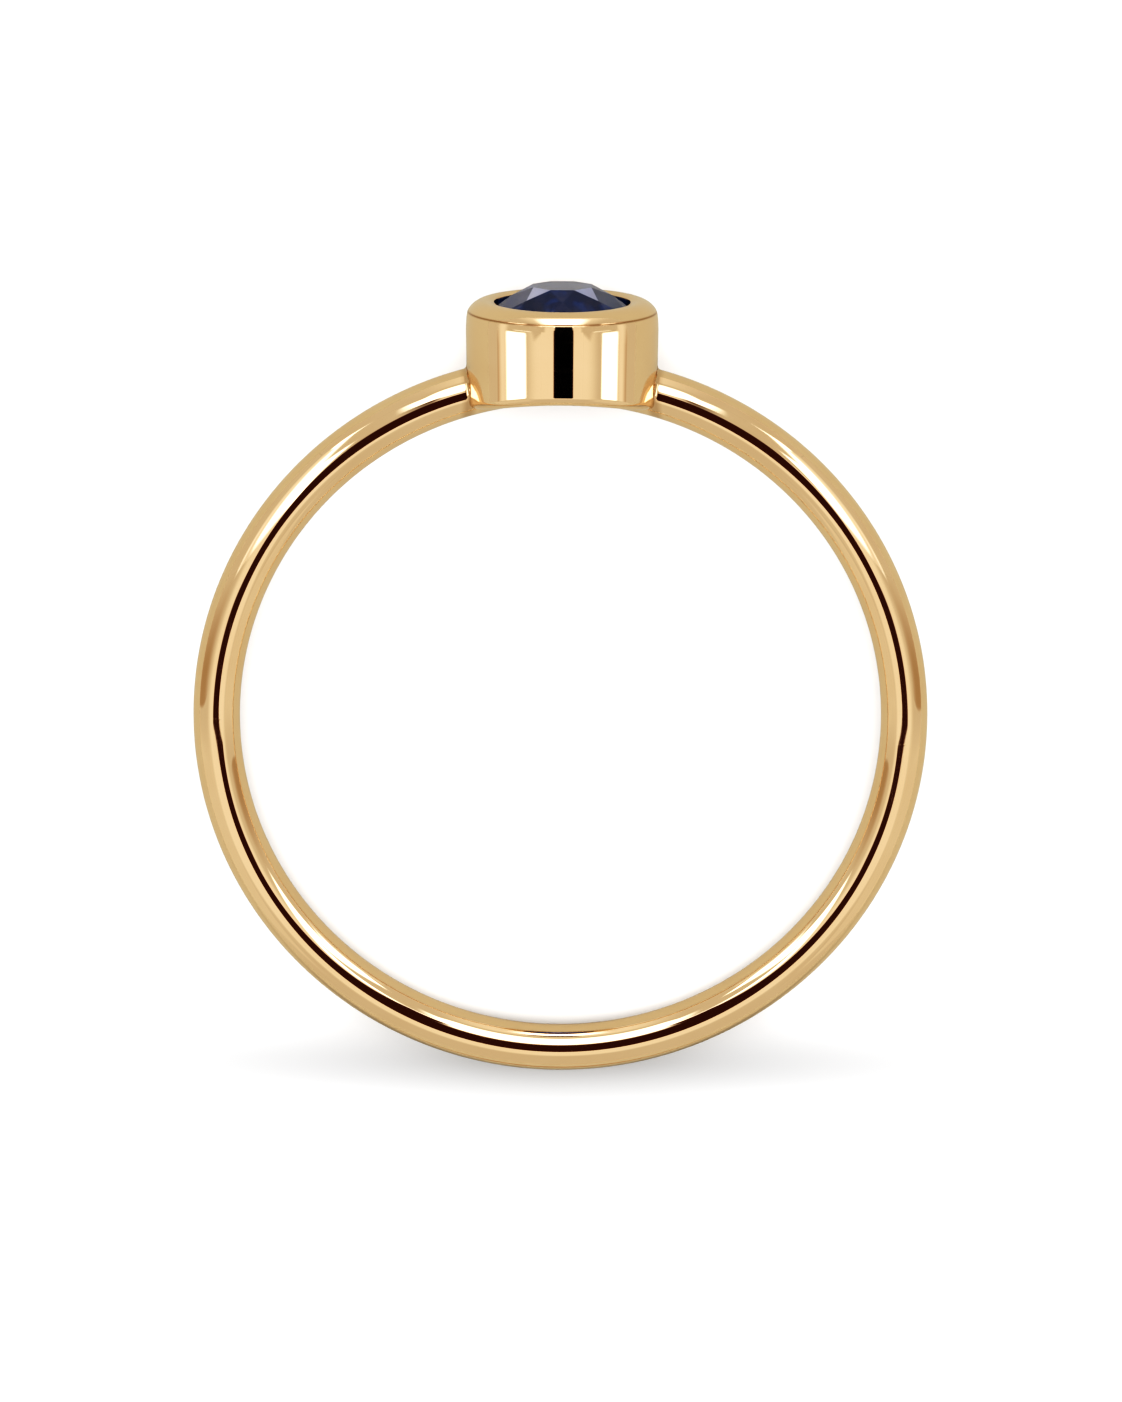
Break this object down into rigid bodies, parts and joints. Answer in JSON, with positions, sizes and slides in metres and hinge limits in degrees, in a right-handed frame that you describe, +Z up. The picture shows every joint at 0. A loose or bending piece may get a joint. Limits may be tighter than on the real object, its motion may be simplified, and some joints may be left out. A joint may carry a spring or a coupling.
{
  "type": "gemstone ring",
  "caption": "Finger ring with a plain round-wire band and a round faceted blue stone set in a rolled-rim bezel cup, lying on its side.",
  "frame": {"origin": "on the surface that the ring lies on, under the middle of its bounding box", "axes": "+Z up from the surface, +Y from the back of the band towards the stone, +X across the band"},
  "size_m": [0.0196, 0.0216, 0.0052],
  "materials": {
    "gold": "polished yellow gold",
    "sapphire": "polished facets, deep navy blue"
  },
  "bodies": {
    "root": {"band_and_bezel": "gold", "stone": "sapphire"}
  },
  "joints": []
}
